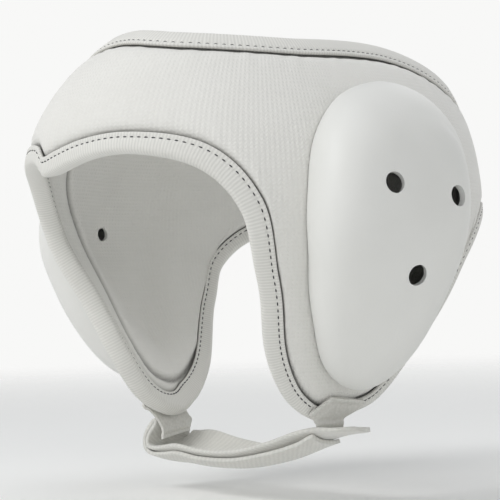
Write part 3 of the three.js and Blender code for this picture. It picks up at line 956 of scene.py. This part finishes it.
def cup_place(column, row):
    """Point of the cup's outside for a cell corner of a square grid wrapped onto its dome."""
    a = 2 * column / CUP_CELLS - 1
    b = 2 * row / CUP_CELLS - 1
    ring = np.maximum(np.abs(a), np.abs(b))
    safe = np.maximum(ring, 1e-9)
    around = np.where(
        np.abs(a) >= np.abs(b),
        np.where(a > 0, 1 + b / safe, 5 - b / safe),
        np.where(b > 0, 3 - a / safe, 7 + a / safe)) / 8
    along, height, fullness = cup_edge(around)
    dome_cells = CUP_CELLS // 2 - CUP_SKIRT
    step = np.rint(ring * CUP_CELLS / 2)
    closer_at_edge = 1.5
    on_dome = 1 - (1 - np.minimum(step / dome_cells, 1)) ** closer_at_edge
    down_skirt = np.clip((step - dome_cells) / CUP_SKIRT, 0, 1)
    rise = dome_rise(on_dome, fullness) - (CUP_AIR + CUP_RIM + CUP_FOOT) * down_skirt
    spot = side_spot(
        CUP_MIDDLE[0] + (along - CUP_MIDDLE[0]) * on_dome,
        CUP_MIDDLE[1] + (height - CUP_MIDDLE[1]) * on_dome)
    return layer_point(spot, -rise)


def ear_cup():
    cup = shaped_grid("cup_left", CUP_CELLS, CUP_CELLS, cup_place)
    if cup.data.polygons[len(cup.data.polygons) // 2].normal.x < 0:
        turn_inside_out(cup)
    apply_modifier(
        cup, "SOLIDIFY", thickness=CUP_WALL * MM, offset=-1, use_even_offset=True, thickness_clamp=0.5,
        edge_crease_outer=0.55, edge_crease_inner=0.55)
    apply_modifier(cup, "SUBSURF", levels=1, render_levels=1)
    for along, height, forwards, upwards in HOLES:
        middle = layer_point(side_spot(along, height), -dome_rise(*cup_ring(along, height)))
        lean = math.radians(forwards)
        lift = math.radians(upwards)
        axis = (math.cos(lean) * math.cos(lift), -math.sin(lean) * math.cos(lift), math.sin(lift))
        pierce(cup, middle, axis, HOLE_RADIUS, HOLE_PUNCH)
    make_active(cup)
    bpy.ops.object.shade_smooth_by_angle(angle=math.radians(40))
    return cup


# Strap tabs

def tab_place(side, columns, rows):
    """Places a grid on a tab's rows, with its doubled top and foot standing proud."""
    tab_rows = TAB_ROWS[side]
    table = between(tab_rows, np.linspace(0, len(tab_rows) - 1, rows + 1))
    top_height, slant, _, top_front, top_rear = table[0]
    shoulder_height, _, _, shoulder_front, _ = tab_rows[TAB_SHOULDER]
    corners = np.array([
        (shoulder_front, shoulder_height),
        (top_front, top_height),
        (top_rear, top_height + slant),
    ])

    def place(column, row):
        level, slant, inward, front, rear = table[row].T
        height = level + slant * column / columns
        along = front + (rear - front) * column / columns
        spot = side_spot(along, np.maximum(height, TAB_FOLD))
        drop = np.minimum(height - TAB_FOLD, 0)
        here = np.stack([along, height], axis=1)
        from_top = np.full(len(here), np.inf)
        for start, end in zip(corners[:-1], corners[1:]):
            side_line = end - start
            part = np.clip(((here - start) @ side_line) / (side_line @ side_line), 0, 1)
            gap = np.linalg.norm(here - start - part[:, None] * side_line, axis=1)
            from_top = np.minimum(from_top, gap)
        from_hem = np.minimum(from_top - TAB_HEM, level - TAB_FOOT[side])
        raised = TAB_HEM_RISE / (1 + np.exp(from_hem / TAB_HEM_SLOPE))
        point = layer_point(spot, -(TAB_AIR + TAB_WALL / 2 + raised))
        return point + np.stack([-inward, 0 * inward, drop], axis=1)

    return place


def strap_tab(side):
    columns, rows = TAB_CELLS
    tab = shaped_grid("tab_" + side, columns, rows, tab_place(side, columns, rows))
    apply_modifier(tab, "SOLIDIFY", thickness=TAB_WALL * MM, offset=0, use_even_offset=True)
    apply_modifier(
        tab, "BEVEL", width=TAB_BEVEL * MM, segments=2, limit_method="ANGLE", angle_limit=math.radians(50))
    if side == "right":
        mirror(tab)
    return tab


# Chin strap

def strap_lane(place):
    """Points down the middle of the strap, between its two layers."""
    row = between(STRAP_ROWS, place)
    return np.stack([row[..., 0], 0 * row[..., 0], row[..., 1]], axis=-1)


def strap_stations():
    """Place, offset from the middle and reach beyond the fold, from the free tip to the cut end."""
    last = len(STRAP_ROWS) - 1
    half = (STRAP_WALL + STRAP_AIR) / 2

    def layer(first):
        lane = strap_lane(np.linspace(first, last, 400))
        length = np.linalg.norm(np.diff(lane, axis=0), axis=1).sum()
        return even_places(strap_lane, first, last, round(length / STRAP_CELL))

    inner = layer(0)
    outer = layer(STRAP_END)[::-1]
    fold = np.radians(np.linspace(0, 180, 9)[1:-1])
    place = np.concatenate([inner, np.full(len(fold), last), outer])
    offset = np.concatenate([np.full(len(inner), half), half * np.cos(fold), np.full(len(outer), -half)])
    beyond = np.concatenate([0 * inner, half * np.sin(fold), 0 * outer])
    return place, offset, beyond


def chin_strap():
    """The strap in two layers, and its length along both of them."""
    station, offset, beyond = strap_stations()
    last = len(STRAP_ROWS) - 1
    nearby = 0.05
    part = np.linspace(0, 1, STRAP_LANES + 1)
    near_cut = np.where(offset < 0, (last - station) / (last - STRAP_END), 0) ** STRAP_SLANT_FADE
    place = station[:, None] + STRAP_SLANT * near_cut[:, None] * part
    _, _, front, rear, front_rise, rear_rise, gap = np.moveaxis(between(STRAP_ROWS, place), -1, 0)
    along = unit(strap_lane(np.minimum(place + nearby, last)) - strap_lane(np.maximum(place - nearby, 0)))
    inside = np.stack([along[..., 2], 0 * place, -along[..., 0]], axis=-1)

    lane = strap_lane(station)
    from_tip = np.cumsum(np.linalg.norm(np.diff(lane, axis=0, prepend=lane[:1]), axis=1))
    narrowed = np.sqrt(1 - (1 - np.minimum(from_tip / STRAP_TIP, 1)) ** STRAP_TIP_FULLNESS)
    on_tip = (offset > 0) & (from_tip < STRAP_TIP)
    narrowing = np.where(on_tip, np.maximum(narrowed, STRAP_TIP_END), 1)[:, None]
    from_middle = 2 * part - 1
    sideways = (front + rear) / 2 + (rear - front) / 2 * narrowing * from_middle
    hanging = np.where(offset[:, None] < 0, gap, 0)
    rise = np.where(part < 0.5, front_rise - hanging, rear_rise) * from_middle**2
    points = strap_lane(place) + sideways[..., None] * [0, 1, 0]
    points = points + inside * (offset[:, None] + rise)[..., None] + along * beyond[:, None, None]
    strap = shaped_grid(
        "strap_webbing", len(station) - 1, STRAP_LANES, lambda column, row: points[column, row])
    apply_modifier(
        strap, "SOLIDIFY", thickness=STRAP_WALL * MM, offset=0, use_even_offset=True,
        edge_crease_outer=0.5, edge_crease_inner=0.5)
    apply_modifier(strap, "SUBSURF", levels=1, render_levels=1)
    return strap, np.linalg.norm(np.diff(points.mean(axis=1), axis=0), axis=1).sum()


# Stage: floor, lights and the camera at the drawing's angle

def studio():
    """Floor, lamps and surroundings; places here are in metres."""
    floor_height = -0.124
    floor_radius = 1.6
    fade_start, fade_end = 0.35, 1.5
    deselect_all()
    bpy.ops.mesh.primitive_circle_add(
        vertices=96, radius=floor_radius, fill_type="NGON", location=(0, 0, floor_height))
    floor = bpy.context.object
    floor.name = "floor"
    floor.data.materials.append(fading_floor(fade_start, fade_end))
    bpy.context.scene.world = pale_surroundings()
    lamps = [  # name, place, side of its square, power in watts
        ("key", (-0.3, -1.3, 1.2), 0.8, 14),
        ("side", (1.5, -1.0, 1.0), 0.8, 3),
        ("back", (-0.6, 1.5, 1.0), 0.9, 4),
        ("top", (0.2, 0.1, 1.7), 1.4, 8),
    ]
    for name, place, size, power in lamps:
        bpy.ops.object.light_add(type="AREA", location=place)
        lamp = bpy.context.object
        lamp.name = name
        lamp.data.size = size
        lamp.data.energy = power
        lamp.rotation_euler = (-Vector(place)).to_track_quat("-Z", "Y").to_euler()
    bpy.context.scene.view_settings.view_transform = "Standard"


def fading_floor(fade_start, fade_end):
    """Pale paper that thins out with distance, so that no horizon shows."""
    material, tree, shader = new_finish("pale_paper", Roughness=0.9, Base_Color=to_linear("#f6f6f4"))
    place = add_node(tree, "ShaderNodeTexCoord", {}).outputs["Object"]
    distance = add_node(tree, "ShaderNodeVectorMath", {0: place}, operation="LENGTH")
    solid = add_node(tree, "ShaderNodeMapRange", {
        "Value": distance.outputs["Value"],
        "From Min": fade_start, "From Max": fade_end, "To Min": 1, "To Max": 0,
    }, interpolation_type="SMOOTHSTEP")
    tree.links.new(solid.outputs["Result"], shader.inputs["Alpha"])
    return material


def pale_surroundings():
    """Near-white round the horizon and grey overhead, so that the lamps do the modelling."""
    world = bpy.data.worlds.new("pale_surroundings")
    world.use_nodes = True
    tree = world.node_tree
    pale_up_to, grey_from = 0.2, 0.42  # sine of the angle above or below the horizon
    direction = add_node(tree, "ShaderNodeTexCoord", {}).outputs["Generated"]
    upward = add_node(tree, "ShaderNodeSeparateXYZ", {"Vector": direction}).outputs["Z"]
    from_level = add_node(tree, "ShaderNodeMath", {0: upward}, operation="ABSOLUTE")
    darker = add_node(tree, "ShaderNodeMapRange", {
        "Value": from_level.outputs["Value"], "From Min": pale_up_to, "From Max": grey_from,
    }, interpolation_type="SMOOTHSTEP")
    sky = add_node(tree, "ShaderNodeMix", {
        "Factor": darker.outputs["Result"], "A": to_linear("#f8f8f7"), "B": to_linear("#85888c"),
    }, data_type="RGBA")
    tree.links.new(sky.outputs["Result"], tree.nodes["Background"].inputs["Color"])
    return world


def camera():
    """The drawing's point of view, from the front on the wearer's left."""
    azimuth, elevation, roll = np.radians((50.1, -3.52, -1.69))
    distance = 682.2
    lens = 118.8
    aim_right, aim_up = -6.26, -23.15
    back = np.array([
        math.sin(azimuth) * math.cos(elevation),
        -math.cos(azimuth) * math.cos(elevation),
        math.sin(elevation),
    ])
    right = np.array([math.cos(azimuth), math.sin(azimuth), 0])
    up = np.cross(back, right)
    eye = back * distance
    target = right * aim_right + up * aim_up
    bpy.ops.object.camera_add(location=eye * MM)
    view = bpy.context.object
    view.rotation_euler = Vector(target - eye).to_track_quat("-Z", "Y").to_euler()
    view.rotation_euler.rotate_axis("Z", roll)
    view.data.lens = lens
    view.data.sensor_width = 36
    bpy.context.scene.camera = view


# Assembly

studio()
camera()
thread = sewing_thread()
lower_columns = EdgeColumns(LOWER_EDGE, 1, TAPE_COLUMNS)
crown_columns = EdgeColumns(CROWN_EDGE, -1, TAPE_COLUMNS)

band = padded_band()
settle(band, "padded_band", knit_over_foam())

stitch = one_stitch()
for name, columns in (("edge", lower_columns), ("crown", crown_columns)):
    tape = binding(name + "_tape", columns)
    tape_width = float((columns.lap + columns.lap_inside).mean()) + BAND_WALL
    settle(tape, name + "_binding", woven_tape(columns.length, 2 * tape_width))
    settle(stitches(name + "_stitches", columns, stitch), None, thread)

foam = moulded_foam()
left_cup = ear_cup()
right_cup = mirrored_copy(left_cup, "cup_right")
settle(left_cup, "ear_cup_left", foam)
settle(right_cup, "ear_cup_right", foam)

leather = coated_leather()
for side in ("left", "right"):
    tab = strap_tab(side)
    settle(tab, "strap_tab_" + side, leather)

strap, strap_length = chin_strap()
settle(strap, "chin_strap", loop_webbing(strap_length, STRAP_WIDTH))
